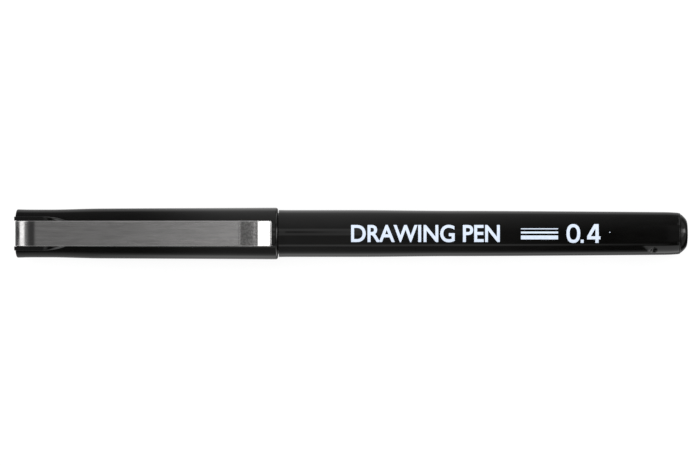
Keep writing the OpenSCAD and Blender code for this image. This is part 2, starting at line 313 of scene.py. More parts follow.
def brushed_steel(name, tone, roughness, bent=None):
    """Stainless strip brushed along its length, with streaks in its tone, polish and surface.

    Between the two frame x places of bent, bending has broken the brushing up into a mottle.
    """
    material, nodes, links, shader = principled(name, Metallic=1.0, Anisotropic=0.75)
    lines = noise(nodes, links, (90, 14000, 14000), 5, 0.6)
    patches = noise(nodes, links, (260, 1600, 1600), 4, 0.55)
    half_patches = math_node(nodes, links, "MULTIPLY", patches, 0.5)
    both = math_node(nodes, links, "MULTIPLY_ADD", lines, 0.5, half_patches)
    polish = remap(nodes, links, lines, roughness * 0.8, roughness * 1.3, 0.3, 0.7)
    height = lines
    if bent:
        split = nodes.new("ShaderNodeSeparateXYZ")
        links.new(object_coords(nodes, links, (1 / MM, 1 / MM, 1 / MM)), split.inputs["Vector"])
        zone = window(nodes, links, split.outputs["X"], bent[0] / MM, bent[1] / MM, BENT_SOFT)
        mottle = noise(nodes, links, (2800, 2800, 2800), 3)
        dents = math_node(nodes, links, "MULTIPLY", mottle, zone)
        height = math_node(nodes, links, "MULTIPLY_ADD", dents, BENT_DENTS, lines)
        polish = math_node(nodes, links, "MULTIPLY_ADD", zone, BENT_ROUGHNESS, polish)
        specks = math_node(nodes, links, "SUBTRACT", mottle, 0.5)
        specks = math_node(nodes, links, "MULTIPLY", specks, zone)
        both = math_node(nodes, links, "MULTIPLY_ADD", specks, BENT_SPECKS, both)
    darker, lighter = tuple(c * 0.8 for c in tone), tuple(c * 1.08 for c in tone)
    links.new(ramp(nodes, links, both, (0.35, darker), (0.65, lighter)), shader.inputs["Base Color"])
    links.new(polish, shader.inputs["Roughness"])
    bump(nodes, links, shader, height, 0.25, 0.000012)
    tangent = nodes.new("ShaderNodeTangent")
    tangent.direction_type = "RADIAL"
    tangent.axis = "X"
    links.new(tangent.outputs["Tangent"], shader.inputs["Tangent"])
    return material


def drawn_steel(name):
    """Drawn tube, bright with faint rings where it was turned."""
    material, nodes, links, shader = principled(name, Metallic=1.0)
    rings = noise(nodes, links, (30000, 400, 400), 3)
    links.new(ramp(nodes, links, rings, (0.3, (0.5, 0.49, 0.47)), (0.7, (0.68, 0.67, 0.65))),
              shader.inputs["Base Color"])
    links.new(remap(nodes, links, rings, 0.16, 0.3, 0.3, 0.7), shader.inputs["Roughness"])
    bump(nodes, links, shader, rings, 0.15, 0.000005)
    return material


def printed_ink(name):
    """White pad-printed ink: matt, with a slightly uneven film."""
    material, nodes, links, shader = principled(name, IOR=1.5)
    film = noise(nodes, links, (2500, 2500, 2500), 4)
    links.new(ramp(nodes, links, film, (0.3, (0.58, 0.67, 0.80)), (0.7, (0.67, 0.745, 0.87))),
              shader.inputs["Base Color"])
    links.new(remap(nodes, links, film, 0.38, 0.55), shader.inputs["Roughness"])
    bump(nodes, links, shader, film, 0.2, 0.00001)
    return material


def fibre(name, dark, light, grain):
    """Bundled fibres along the pen."""
    material, nodes, links, shader = principled(name, Roughness=0.85)
    strands = noise(nodes, links, grain, 4)
    links.new(ramp(nodes, links, strands, (0.35, dark), (0.65, light)), shader.inputs["Base Color"])
    bump(nodes, links, shader, strands, 0.5, 0.00004)
    return material


def clear_film(name):
    """Thin clear film round the reservoir, faintly wrinkled."""
    material, nodes, links, shader = principled(name, Transmission_Weight=0.8, IOR=1.45)
    wrinkles = noise(nodes, links, (200, 1500, 1500), 3)
    links.new(ramp(nodes, links, wrinkles, (0.3, (0.7, 0.72, 0.75)), (0.7, (0.85, 0.87, 0.9))),
              shader.inputs["Base Color"])
    links.new(remap(nodes, links, wrinkles, 0.1, 0.25), shader.inputs["Roughness"])
    return material


BLACK = (0.0019, 0.0018, 0.0017)
BLACK_LIGHT = (0.0028, 0.0027, 0.0025)
CAP_BLACK = moulded_plastic("cap_black", BLACK, BLACK_LIGHT, 0.045)
BARREL_BLACK = moulded_plastic("barrel_black", BLACK, BLACK_LIGHT, 0.015)
PLUG_BLACK = moulded_plastic("plug_black", BLACK, BLACK_LIGHT, 0.07)
SECTION_BLACK = moulded_plastic("section_black", (0.005, 0.005, 0.005), (0.008, 0.008, 0.008), 0.28)
HOLDER_DARK = moulded_plastic("holder_dark", (0.012, 0.012, 0.012), (0.018, 0.018, 0.018), 0.35)
LINER_DARK = moulded_plastic("liner_dark", (0.02, 0.02, 0.019), (0.03, 0.03, 0.028), 0.45)
CLIP_DIP_X, CLIP_DROP_X = 45.3, 48.8               # where the clip dips, and where it drops more steeply
BENT_SOFT = 0.5                                    # how softly the mottle comes on, in millimetres
BENT_ROUGHNESS, BENT_DENTS, BENT_SPECKS = 0.12, 16.0, 2.5
CLIP_BENT = (END_X + (CLIP_DIP_X + 0.3) * MM, END_X + (CLIP_DROP_X - 0.2) * MM)
CLIP_STEEL = brushed_steel("clip_steel", (0.63, 0.62, 0.615), 0.2, CLIP_BENT)
# A brighter copy of the clip's steel for the strip's edges: a painted highlight along them.
CLIP_EDGE_HIGHLIGHT = brushed_steel("clip_edge_highlight", (0.95, 0.94, 0.935), 0.32)
SLEEVE_STEEL = drawn_steel("sleeve_steel")
PRINT_WHITE = printed_ink("print_white")
NIB_FIBRE = fibre("nib_fibre", (0.008, 0.008, 0.01), (0.03, 0.03, 0.035), (400, 20000, 20000))
INK_FIBRE = fibre("ink_fibre", (0.006, 0.006, 0.01), (0.03, 0.03, 0.04), (300, 9000, 9000))
WRAP_FILM = clear_film("wrap_film")


# ---------------------------------------------------------------- barrel
LIP_R = 4.8                                        # barrel's front edge
LAND_R = 4.77                                      # parallel land behind it
LAND_START, LAND_END = 54.6, 68.0
DRAFT_X, DRAFT_R = 90.0, 4.61                      # end of the quick taper
DRAFT_POWER = 1.3                                  # bend of the slow taper behind it
CROWN_X, CROWN_R = 131.0, 4.345                    # where the tail starts to close in
BARREL_END_R = 4.2
BORE_R, TAIL_BORE_R = 3.8, 3.4
FRONT_EDGE_R, TAIL_EDGE_R = 0.08, 0.12


def barrel_radius(x):
    """Radius of the barrel's outside at a station."""
    if x < LAND_START:
        return LIP_R + (LAND_R - LIP_R) * (x - BARREL_X) / (LAND_START - BARREL_X)
    if x < LAND_END:
        return LAND_R
    if x < DRAFT_X:
        return LAND_R + (DRAFT_R - LAND_R) * ease((x - LAND_END) / (DRAFT_X - LAND_END))
    if x < CROWN_X:
        return DRAFT_R + (CROWN_R - DRAFT_R) * ((x - DRAFT_X) / (CROWN_X - DRAFT_X)) ** DRAFT_POWER
    t = (x - CROWN_X) / (SEAM_X - CROWN_X)
    return CROWN_R + (BARREL_END_R - CROWN_R) * t * t


MARK_X, MARK_DEG = 129.05, 308.0                   # dimple's place, as a station and a turn about the axis
MARK_R, MARK_DEPTH = 0.6, 0.55
MARK_FLOOR, MARK_WALL = 0.7, 0.5                   # flat floor and sloping wall, as shares of its radius


def moulding_mark(x, r, turn):
    """Depth of the small round dimple near the tail. The bore inside it is left alone."""
    if r < BORE_R:
        return 0.0
    across = (turn - math.radians(MARK_DEG)) * barrel_radius(MARK_X)
    away = math.hypot(x - MARK_X, across) / MARK_R
    return MARK_DEPTH * (1 - ease(min(max((away - MARK_FLOOR) / MARK_WALL, 0), 1)))


def make_barrel():
    """The barrel, with closer rings round the dimple."""
    plain_step, mark_step, mark_reach = 0.5, 0.06, 1.1
    stations = [BARREL_X, BARREL_X + 0.02, BARREL_X + 0.06, BARREL_X + 0.12]
    while stations[-1] < SEAM_X - 0.2:
        near_mark = abs(stations[-1] - MARK_X) < mark_reach
        stations.append(stations[-1] + (mark_step if near_mark else plain_step))
    outside = [(x, barrel_radius(x)) for x in stations[1:-1]]
    front = rounded([(BARREL_X, BORE_R), (BARREL_X, LIP_R, FRONT_EDGE_R), outside[1]])
    tail = rounded([outside[-1], (SEAM_X, BARREL_END_R, TAIL_EDGE_R), (SEAM_X, TAIL_BORE_R)])
    bore = dense([(SEAM_X, TAIL_BORE_R), (BARREL_X + 0.1, BORE_R - 0.05)], 6)
    outline = front[:-1] + outside[2:-1] + dense(tail) + bore[1:]
    return lathe("barrel_body", outline, "pen", ["barrel"], BARREL_BLACK, moulding_mark)


make_barrel()


# ---------------------------------------------------------------- tail plug
PLUG_HEAD_R, PLUG_HEAD_L = 4.16, 0.25              # parallel edge next to the barrel
PLUG_FACE_R = 2.25                                 # flat end face
PLUG_EDGE_R = 1.1                                  # rounding of the end face's edge
PLUG_BEVEL_R = 4.0                                 # rounding of the bevel
PLUG_HEAD_DEG, PLUG_MEET_DEG = 58.0, 35.0          # slopes where the bevel starts and ends
PLUG_SKIRT_R, PLUG_BORE_R = 3.35, 2.4
PLUG_LEAD_L, PLUG_LEAD_T = 3.0, 0.35               # taper that leads the skirt into the bore
PLUG_FLOOR_T = 0.4


def make_plug():
    """The tail plug: skirt, head and bevelled end."""
    edge = (PEN_L - PLUG_EDGE_R, PLUG_FACE_R)
    reach = PLUG_BEVEL_R - PLUG_EDGE_R
    meet = math.radians(PLUG_MEET_DEG)
    bevel = (edge[0] - reach * math.cos(meet), edge[1] - reach * math.sin(meet))
    bevel_points = arc(bevel, PLUG_BEVEL_R, PLUG_HEAD_DEG, PLUG_MEET_DEG, 14)
    skirt_x = station(PLUG_LOW.x)
    floor_x = SEAM_X - PLUG_FLOOR_T
    inside = [(floor_x, 0), (floor_x, PLUG_BORE_R)]
    skirt = [(skirt_x, PLUG_BORE_R), (skirt_x, PLUG_SKIRT_R - PLUG_LEAD_T),
             (skirt_x + PLUG_LEAD_L, PLUG_SKIRT_R), (SEAM_X - 0.1, PLUG_SKIRT_R)]
    head = rounded([(SEAM_X, PLUG_SKIRT_R), (SEAM_X, PLUG_HEAD_R, 0.08),
                    (SEAM_X + PLUG_HEAD_L, PLUG_HEAD_R, 0.1), bevel_points[0]])
    rim = arc(edge, PLUG_EDGE_R, PLUG_MEET_DEG, 0, 10)
    face = [(PEN_L, PLUG_FACE_R - 0.1), (PEN_L, PLUG_FACE_R * 0.5), (PEN_L, 0)]
    outline = inside + dense(skirt, 2) + head + bevel_points[1:] + rim[1:] + face
    return lathe("plug_body", outline, "pen", ["tail_plug"], PLUG_BLACK)


make_plug()


# ---------------------------------------------------------------- writing end
SPIGOT_END_X = station(SECTION_HIGH.x)
NOSE_X = station(SECTION_LOW.x)
LINER_MOUTH_X = station(LINER_HIGH.x)
HOLDER_R = 1.6                                     # bore in the section's nose
NOSE_R = 2.2
SEAL_X, SEAL_R = 23.5, 3.11                        # land that the inner cap closes on
GRIP_R, GRIP_END_X = 3.45, 42.0
SEAT_X, SEAT_R = 43.0, 4.17                        # land that the cap's bore runs on
BEAD_START, BEAD_END = 46.2, 47.8                  # snap bead on it
BEAD_R, BEAD_RAMP = 4.23, 0.5
SHANK_BORE_X, SHANK_BORE_R = 34.0, 2.4
SPIGOT_BORE_X, SPIGOT_BORE_R = 47.0, 3.2
NIB_SHANK_R, NIB_TIP_R = 0.65, 0.2
SLEEVE_R = 0.55
SHANK_START_X = 20.4                               # where the nib starts to widen into its shank


def make_section():
    """The front section: nose, seal land, grip, seat with its bead, spigot and stepped bore."""
    grip_x = LINER_MOUTH_X + 0.6
    front = rounded([(NOSE_X, HOLDER_R), (NOSE_X, NOSE_R, 0.15), (NOSE_X + 1.0, SEAL_R, 0.8),
                     (SEAL_X, SEAL_R)])
    shoulder = rounded([(SEAL_X, SEAL_R), (grip_x, SEAL_R, 0.1), (grip_x + 0.3, GRIP_R, 0.15),
                        (grip_x + 0.9, GRIP_R)])
    grip = curve(grip_x + 0.9, GRIP_R, GRIP_END_X, SEAT_R - 0.05, 30)
    seat = rounded([(GRIP_END_X, SEAT_R - 0.05), (SEAT_X, SEAT_R, 0.4), (BEAD_START, SEAT_R, 0.2),
                    (BEAD_START + BEAD_RAMP, BEAD_R, 0.2), (BEAD_END - BEAD_RAMP, BEAD_R, 0.2),
                    (BEAD_END, SEAT_R, 0.2), (BARREL_X, SEAT_R)])
    tail = [(BARREL_X, SEAT_R), (BARREL_X, BORE_R - 0.01), (SPIGOT_END_X, BORE_R - 0.01),
            (SPIGOT_END_X, SPIGOT_BORE_R), (SPIGOT_BORE_X, SPIGOT_BORE_R), (SPIGOT_BORE_X, SHANK_BORE_R),
            (SHANK_BORE_X, SHANK_BORE_R), (SHANK_BORE_X, HOLDER_R), (NOSE_X, HOLDER_R)]
    outline = dense(front) + dense(shoulder)[1:] + grip[1:] + dense(seat)[1:] + dense(tail, 4)[1:-1]
    return lathe("section_body", outline, "pen", ["front_section"], SECTION_BLACK)


def make_holder():
    """The cone that holds the sleeve in the nose."""
    tip_x = station(HOLDER_LOW.x)
    end_x = station(HOLDER_HIGH.x)
    tip_r, base_r = 0.95, 1.95
    outline = rounded([(tip_x, SLEEVE_R), (tip_x, tip_r, 0.12), (NOSE_X - 0.3, base_r, 0.2),
                       (NOSE_X, base_r, 0.02), (NOSE_X, HOLDER_R), (end_x, HOLDER_R), (end_x, NIB_SHANK_R),
                       (SHANK_START_X, NIB_SHANK_R), (SHANK_START_X, SLEEVE_R)])
    return lathe("holder_body", dense(outline, 2), "pen", ["nib_holder"], HOLDER_DARK)


def make_sleeve():
    """The steel tube round the nib."""
    tip_x = station(SLEEVE_LOW.x)
    end_x = station(SLEEVE_HIGH.x)
    outline = rounded([(tip_x, NIB_TIP_R), (tip_x, 0.32, 0.04), (tip_x + 0.35, SLEEVE_R, 0.15),
                       (end_x, SLEEVE_R), (end_x, NIB_TIP_R)])
    return lathe("sleeve_tube", dense(outline, 1), "pen", ["nib_sleeve"], SLEEVE_STEEL)


def make_nib():
    """The fibre nib and its shank."""
    tip_x = station(NIB_LOW.x)
    end_x = station(NIB_HIGH.x)
    outline = rounded([(tip_x, 0), (tip_x, NIB_TIP_R, 0.09), (SHANK_START_X, NIB_TIP_R),
                       (SHANK_START_X + 0.9, NIB_SHANK_R), (end_x - 1, NIB_SHANK_R), (end_x, 0.26),
                       (end_x, 0)])
    return lathe("nib_rod", dense(outline, 2), "pen", ["nib"], NIB_FIBRE)


make_section()
make_holder()
make_sleeve()
make_nib()


def make_liner():
    """The inner cap: a cup with a bevelled mouth."""
    start_x = station(LINER_LOW.x)
    wall_r, bore_r = 3.93, 3.13
    floor_x = start_x + 0.9
    outline = rounded([(start_x, 0), (start_x, wall_r, 0.3), (LINER_MOUTH_X, wall_r, 0.2),
                       (LINER_MOUTH_X, bore_r + 0.25, 0.1), (LINER_MOUTH_X - 0.4, bore_r, 0.1),
                       (floor_x, bore_r, 0.5), (floor_x, 0)])
    return lathe("liner_cup", dense(outline, 2), "cap_liner", ["inner_cap"], LINER_DARK)


make_liner()

# ---------------------------------------------------------------- cap shell
MOUTH_EDGE_R, END_EDGE_R = 0.5, 0.3
CAP_END_R, CAP_FLARE_R, CAP_WAIST_R, CAP_SHOULDER_R = 4.91, 4.875, 4.85, 5.07
CAP_WALL_X = 2.4                                   # inside of the end wall
SEAT_BORE_X, SEAT_BORE_R = 41.0, 4.25
LINER_BORE_X, LINER_BORE_R = 27.0, 3.95
GROOVE_R, GROOVE_RAMP = 4.31, 0.4                  # groove over the snap bead
SADDLE_W, SADDLE_H = 3.4, 5.6                      # half width and top of the block round the clip's root
SADDLE_CURVE_X, SADDLE_CURVE_R = 5.5, 16.6         # its sides curve in to the bow from here
SADDLE_FADE_L, SADDLE_SINK = 6.0, 0.75             # its top sinks towards the bow
SADDLE_EDGE_R, SADDLE_EDGE_GAIN = 0.22, 1.1        # its top edges get rounder towards the bow
BEND_R = 4.8                                       # the clip's bend at its root
BEND_H = CLIP_TOP - BEND_R
BEND_GAP = 0.03
CHANNEL_W = CLIP_W / 2 + 0.05                      # half width of the channel for the clip
CHANNEL_X = 0.48
SLOT_LOW, SLOT_HIGH = 0.645, 1.285


def cap_outline():
    """The cap without its saddle: outside, mouth and bore, as one closed outline."""
    end = arc((END_EDGE_R, CAP_END_R - END_EDGE_R), END_EDGE_R, 180, 90, 8)
    flare = [(0.8, CAP_END_R - 0.014), (1.5, CAP_FLARE_R), (2.5, CAP_WAIST_R + 0.006),
             (3.5, CAP_WAIST_R), (5.0, CAP_WAIST_R)]
    rise = curve(6.5, CAP_WAIST_R, 18.0, CAP_SHOULDER_R, 28)
    mouth = arc((CAP_L - MOUTH_EDGE_R, MOUTH_R - MOUTH_EDGE_R), MOUTH_EDGE_R, 90, 0, 10)
    draft = dense([rise[-1], mouth[0]])
    rim = rounded([mouth[-1], (CAP_L, SEAT_BORE_R + 0.2, 0.08), (CAP_L - 0.5, SEAT_BORE_R, 0.1),
                   (BEAD_END, SEAT_BORE_R)])
    bore = [(BEAD_END, SEAT_BORE_R), (BEAD_END - GROOVE_RAMP, GROOVE_R),
            (BEAD_START + GROOVE_RAMP, GROOVE_R), (BEAD_START, SEAT_BORE_R), (SEAT_BORE_X, SEAT_BORE_R),
            (LINER_BORE_X, LINER_BORE_R), (CAP_WALL_X, LINER_BORE_R), (CAP_WALL_X, 0)]
    face = dense([(0, 0), (0, CAP_END_R - END_EDGE_R)], 0.6)
    return face + end[1:] + flare + rise + draft[1:] + mouth[1:] + dense(rim)[1:] + dense(bore, 2)[1:]


def saddle_mesh():
    """A boat-shaped block whose top edges round off more and more towards its bow."""
    bow_x = SADDLE_CURVE_X + math.sqrt(SADDLE_CURVE_R ** 2 - (SADDLE_CURVE_R - SADDLE_W) ** 2)
    start, end_gap, steps = 0.3, 0.15, 70
    reach = bow_x - end_gap - start
    stations = [0.0, 0.12, start] + [start + reach * k / steps for k in range(1, steps + 1)]
    verts, faces, rings = [], [], []
    for x in stations:
        along = max(0.0, x - SADDLE_CURVE_X)
        width = SADDLE_W - (SADDLE_CURVE_R - math.sqrt(SADDLE_CURVE_R ** 2 - along ** 2))
        fade = ease(min(along / SADDLE_FADE_L, 1))
        top = SADDLE_H - SADDLE_SINK * fade
        edge = min(SADDLE_EDGE_R + SADDLE_EDGE_GAIN * fade, width * 0.9)
        side = arc((width - edge, top - edge), edge, 0, 90, 10)
        half = [(width, 2.0), (width, 3.0)] + side
        ring = half + [(-y, h) for y, h in reversed(half)]
        rings.append(range(len(verts), len(verts) + len(ring)))
        verts += [to_frame(x, y, h) for y, h in ring]
    for a, b in zip(rings, rings[1:]):
        for k in range(len(a)):
            n = (k + 1) % len(a)
            faces.append([a[k], a[n], b[n], b[k]])
    faces += [list(rings[0]), list(reversed(rings[-1]))]
    return verts, faces


def channel_mesh():
    """What is cut away for the clip's root: channel, slot, and the room over the saddle at the bend."""
    out_x, out_h = -0.5, CLIP_TOP + 0.5
    slot_x = CAP_WALL_X + 0.2
    outline = [(out_x, SLOT_LOW), (slot_x, SLOT_LOW), (slot_x, SLOT_HIGH), (CHANNEL_X, SLOT_HIGH),
               (CHANNEL_X, BEND_H)]
    outline += arc((BEND_R, BEND_H), BEND_R - CLIP_T - BEND_GAP, 180, 90, 24)[1:]
    outline += [(BEND_R, out_h), (out_x, out_h)]
    count = len(outline)
    verts = [to_frame(x, side * CHANNEL_W, h) for side in (-1, 1) for x, h in outline]
    faces = [[k, (k + 1) % count, count + (k + 1) % count, count + k] for k in range(count)]
    faces += [list(range(count)), list(range(2 * count - 1, count - 1, -1))]
    return verts, faces


def solid(name, verts, faces):
    """A loose solid, for joining or cutting."""
    mesh = bpy.data.meshes.new(name)
    mesh.from_pydata(verts, [], faces)
    finish_mesh(mesh)
    obj = bpy.data.objects.new(name, mesh)
    bpy.context.scene.collection.objects.link(obj)
    return obj


def combine(obj, other, operation):
    """Joins or cuts one solid with another for good."""
    modifier = obj.modifiers.new(operation, "BOOLEAN")
    modifier.operation = operation
    modifier.solver = "EXACT"
    modifier.object = other
    graph = bpy.context.evaluated_depsgraph_get()
    mesh = bpy.data.meshes.new_from_object(obj.evaluated_get(graph))
    obj.modifiers.clear()
    obj.data = mesh
    bpy.data.objects.remove(other)


def make_cap():
    """The cap shell: turned body, with its saddle joined on and the clip's channel cut out."""
    cap = solid("cap_body", *lathe_mesh(cap_outline()))
    combine(cap, solid("saddle", *saddle_mesh()), "UNION")
    combine(cap, solid("channel", *channel_mesh()), "DIFFERENCE")
    finish_mesh(cap.data)
    cap.data.materials.clear()
    cap.data.materials.append(CAP_BLACK)
    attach(cap, "cap")
    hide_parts("cap_shell")
    return cap


make_cap()

# ---------------------------------------------------------------- clip
DIP_DEG, DIP_BEND_R = 12.0, 4.0
DIP_BOW, BOW_STEPS = 0.035, 8                      # arch of the dip between its bends
DROP_DEG, DROP_BEND_R = 27.0, 1.5
CURL_X, CURL_DEG, CURL_BEND_R = 51.1, 50.0, 1.2
REST_GAP = 0.08                                    # between the free end and the cap
ROOT_R, TANG_H, HOOK_L = 0.35, 0.9, 0.9
HOOK_X = CAP_WALL_X + 0.08 + CLIP_T / 2
TIP_R = 0.14                                       # rounding of the free end's corners
STRIP_EDGE_R = 0.16                                # rounding along the strip's edges
EDGE_STEPS, TOP_STEPS = 6, 12


def clip_line():
    """The strip's centre line, from the hook behind the end wall to its free end, as points with tilts."""
    half = CLIP_T / 2
    line_h = CLIP_TOP - half
    dip, drop, curl = math.radians(DIP_DEG), math.radians(DROP_DEG), math.radians(CURL_DEG)
    dip_end = (CLIP_DIP_X + DIP_BEND_R * math.sin(dip), line_h - DIP_BEND_R * (1 - math.cos(dip)))
    drop_start = (CLIP_DROP_X, dip_end[1] - (CLIP_DROP_X - dip_end[0]) * math.tan(dip))
    centre = (drop_start[0] - DROP_BEND_R * math.sin(dip), drop_start[1] - DROP_BEND_R * math.cos(dip))
    drop_end = (centre[0] + DROP_BEND_R * math.sin(drop), centre[1] + DROP_BEND_R * math.cos(drop))
    curl_start = (CURL_X, drop_end[1] - (CURL_X - drop_end[0]) * math.tan(drop))
    curl_centre = (CURL_X - CURL_BEND_R * math.sin(drop), curl_start[1] - CURL_BEND_R * math.cos(drop))
    curl_end = (curl_centre[0] + CURL_BEND_R * math.sin(curl),
                curl_centre[1] + CURL_BEND_R * math.cos(curl))
    end_h = MOUTH_R + REST_GAP + half * math.cos(curl)
    end_x = curl_end[0] + (curl_end[1] - end_h) / math.tan(curl)
    shares = [k / BOW_STEPS for k in range(1, BOW_STEPS)]
    bow = [(dip_end[0] + (drop_start[0] - dip_end[0]) * t,
            dip_end[1] + (drop_start[1] - dip_end[1]) * t + DIP_BOW * 4 * t * (1 - t)) for t in shares]
    line = [(HOOK_X, TANG_H - ROOT_R - HOOK_L)]
    line += arc((HOOK_X - ROOT_R, TANG_H - ROOT_R), ROOT_R, 0, 90, 6)
    line += arc((half + ROOT_R, TANG_H + ROOT_R), ROOT_R, 270, 180, 6)
    line += arc((BEND_R, BEND_H), BEND_R - half, 180, 90, 40)
    line += arc((CLIP_DIP_X, line_h - DIP_BEND_R), DIP_BEND_R, 90, 90 - DIP_DEG, 10)
    line += bow
    line += arc(centre, DROP_BEND_R, 90 - DIP_DEG, 90 - DROP_DEG, 10)
    line += arc(curl_centre, CURL_BEND_R, 90 - DROP_DEG, 90 - CURL_DEG, 10)
    line.append((end_x, end_h))
    return dense(line, 0.5)


def make_clip():
    """The strip, with its polished flats, and its edges in a brighter copy of the steel that paints a
    highlight along them.
    """
    line = [Vector(p) for p in clip_line()]
    half_w, half_t, edge = CLIP_W / 2, CLIP_T / 2, STRIP_EDGE_R
    verts, faces, rings = [], [], []
    last = len(line) - 1
    for i, point in enumerate(line):
        along = (line[min(i + 1, last)] - line[max(i - 1, 0)]).normalized()
        up = Vector((-along.y, along.x))
        away = (line[last] - point).length
        narrow = TIP_R - math.sqrt(max(TIP_R ** 2 - max(TIP_R - away, 0) ** 2, 0))
        width = half_w - narrow
        side = arc((width - edge, half_t - edge), edge, 0, 90, EDGE_STEPS)
        top = [((width - edge) * (1 - 2 * k / TOP_STEPS), half_t) for k in range(1, TOP_STEPS)]
        upper = side + top + [(-y, h) for y, h in reversed(side)]
        ring = upper + [(-y, -h) for y, h in upper]
        rings.append(range(len(verts), len(verts) + len(ring)))
        for y, h in ring:
            verts.append(to_frame(point.x + up.x * h, y, point.y + up.y * h))
    for a, b in zip(rings, rings[1:]):
        for k in range(len(a)):
            n = (k + 1) % len(a)
            faces.append([a[k], a[n], b[n], b[k]])
    faces += [list(rings[0]), list(reversed(rings[-1]))]
    strip = new_piece("clip_strip", verts, faces, "clip", ["clip"], CLIP_STEEL)
    # The edge faces take the brighter copy of the steel, a painted highlight along the strip's edges.
    strip.data.materials.append(CLIP_EDGE_HIGHLIGHT)
    half_ring = len(ring) // 2
    for face in strip.data.polygons:
        if face.index % half_ring not in range(EDGE_STEPS, EDGE_STEPS + TOP_STEPS):
            face.material_index = 1
    return strip


make_clip()

# ---------------------------------------------------------------- print
PRINT_T = 0.02                                     # height of the film over the barrel
FLAT_T = 0.01                                      # half thickness of a shape before it is wrapped
TITLE_X, TITLE_END_X, TITLE_H, TITLE_BOLD = 67.85, 97.85, 3.6, 0.02
SAMPLE_X, SAMPLE_END_X = 102.1, 109.6
SAMPLES = [(0.95, 0.2), (0.2, 0.4), (-0.8, 0.8)]   # middle and height of each line
SAMPLE_CUTS = 16
SIZE_X, SIZE_H = 111.3, 3.9
DOT_X, DOT_Y, DOT_R = 120.05, 0.25, 0.1


def wrap_print(name, flat):
    """Lays a flat mesh in millimetres, x a station and y across, on the barrel as a thin film."""
    for vert in flat.verts:
        x, y, _ = vert.co
        r = barrel_radius(x)
        r += PRINT_T if vert.co.z > 0 else -PRINT_T
        turn = y / barrel_radius(x)
        vert.co = Vector(to_frame(x, r * math.sin(turn), r * math.cos(turn)))
    mesh = bpy.data.meshes.new(name)
    flat.to_mesh(mesh)
    flat.free()
    finish_mesh(mesh)
    piece = bpy.data.objects.new(name, mesh)
    bpy.context.scene.collection.objects.link(piece)
    mesh.materials.append(PRINT_WHITE)
    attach(piece, "pen")
    return piece


def slice_rows(flat, step=0.2):
    """Cuts a flat mesh into narrow rows, so that it can follow the barrel."""
    top = max(v.co.y for v in flat.verts)
    y = min(v.co.y for v in flat.verts) + step
    while y < top:
        geometry = flat.verts[:] + flat.edges[:] + flat.faces[:]
        bmesh.ops.bisect_plane(flat, geom=geometry, plane_co=(0, y, 0), plane_no=(0, 1, 0))
        y += step


def flat_from(outline):
    """A flat mesh from a text or a curve."""
    obj = bpy.data.objects.new(outline.name, outline)
    bpy.context.scene.collection.objects.link(obj)
    graph = bpy.context.evaluated_depsgraph_get()
    mesh = bpy.data.meshes.new_from_object(obj.evaluated_get(graph))
    bpy.data.objects.remove(obj)
    flat = bmesh.new()
    flat.from_mesh(mesh)
    return flat


def print_text(name, words, x0, x1, height, bold):
    """Plain sans lettering between two stations."""
    text = bpy.data.curves.new(name, "FONT")
    text.body = words
    text.extrude = FLAT_T
    text.offset = bold
    text.resolution_u = 6
    flat = flat_from(text)
    low = [min(v.co[i] for v in flat.verts) for i in (0, 1)]
    high = [max(v.co[i] for v in flat.verts) for i in (0, 1)]
    for vert in flat.verts:
        vert.co.x = x0 + (vert.co.x - low[0]) / (high[0] - low[0]) * (x1 - x0)
        vert.co.y = ((vert.co.y - low[1]) / (high[1] - low[1]) - 0.5) * height
    bmesh.ops.remove_doubles(flat, verts=flat.verts, dist=1e-5)
    slice_rows(flat)
    return wrap_print(name, flat)


def oval(x, y, half_w, half_h, power=2.3, count=56):
    """Points of an upright oval with slightly square shoulders."""
    out = []
    for k in range(count):
        turn = 2 * math.pi * k / count
        across, up = math.cos(turn), math.sin(turn)
        out.append((x + half_w * math.copysign(abs(across) ** (2 / power), across),
                    y + half_h * math.copysign(abs(up) ** (2 / power), up)))
    return out


def print_outlines(name, x0, height, outlines):
    """Plain shapes in millimetres from station x0. An outline inside another one is a hole."""
    shape = bpy.data.curves.new(name, "CURVE")
    shape.dimensions = "2D"
    shape.fill_mode = "BOTH"
    shape.extrude = FLAT_T
    for outline in outlines:
        spline = shape.splines.new("POLY")
        spline.points.add(len(outline) - 1)
        for point, (x, y) in zip(spline.points, outline):
            point.co = (x0 + x, y - height / 2, 0, 1)
        spline.use_cyclic_u = True
    flat = flat_from(shape)
    bmesh.ops.remove_doubles(flat, verts=flat.verts, dist=1e-5)
    slice_rows(flat)
    return wrap_print(name, flat)


def flat_shape(flat, outline):
    """Adds a thin flat shape with the given outline, anticlockwise from above."""
    low = [flat.verts.new((x, y, -FLAT_T)) for x, y in outline]
    high = [flat.verts.new((x, y, FLAT_T)) for x, y in outline]
    flat.faces.new(high)
    flat.faces.new(low[::-1])
    for k in range(len(outline)):
        n = (k + 1) % len(outline)
        flat.faces.new([low[k], low[n], high[n], high[k]])


def print_bars(name, x0, x1, rows):
    """Line samples: bars between two stations, each (middle, height)."""
    flat = bmesh.new()
    for middle, height in rows:
        low, high = middle - height / 2, middle + height / 2
        flat_shape(flat, [(x0, low), (x1, low), (x1, high), (x0, high)])
    for k in range(1, SAMPLE_CUTS):
        geometry = flat.verts[:] + flat.edges[:] + flat.faces[:]
        cut = x0 + (x1 - x0) * k / SAMPLE_CUTS
        bmesh.ops.bisect_plane(flat, geom=geometry, plane_co=(cut, 0, 0), plane_no=(1, 0, 0))
    slice_rows(flat)
    return wrap_print(name, flat)


def print_dot(name, x, middle, radius):
    """The printer's small register dot."""
    flat = bmesh.new()
    turns = [2 * math.pi * k / 24 for k in range(24)]
    flat_shape(flat, [(x + radius * math.cos(t), middle + radius * math.sin(t)) for t in turns])
    slice_rows(flat)
    return wrap_print(name, flat)


def number_zero():
    """Outline and counter of a plain 0."""
    middle_x, middle_y = 1.39, SIZE_H / 2
    return [oval(middle_x, middle_y, 1.385, middle_y), oval(middle_x, middle_y, 0.757, 1.29)]


